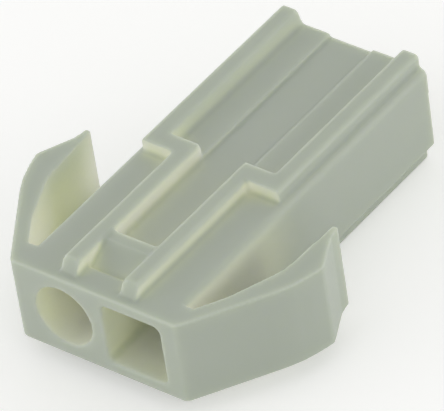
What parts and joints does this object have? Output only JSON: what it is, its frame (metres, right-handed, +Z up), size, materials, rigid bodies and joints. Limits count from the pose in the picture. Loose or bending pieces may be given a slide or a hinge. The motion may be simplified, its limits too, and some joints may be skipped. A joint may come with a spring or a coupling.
{
  "type": "wire to board connector housing",
  "caption": "One-piece panel-mount connector housing with a round and a square mating well, side snap arms, guide ribs and stiffening rails.",
  "frame": {"origin": "on the surface that the lower rails stand on, under the middle of the housing's length and width", "axes": "+Y runs from the mating face back to the wire end, +X runs across the ways from the round well to the square well, +Z is up, towards the side with the guide ribs and catch"},
  "size_m": [0.0184, 0.0226, 0.0071],
  "materials": {
    "nylon_natural": "natural nylon 66, moulded, slightly translucent, satin"
  },
  "bodies": {
    "root": {"housing": "nylon_natural"}
  },
  "joints": []
}
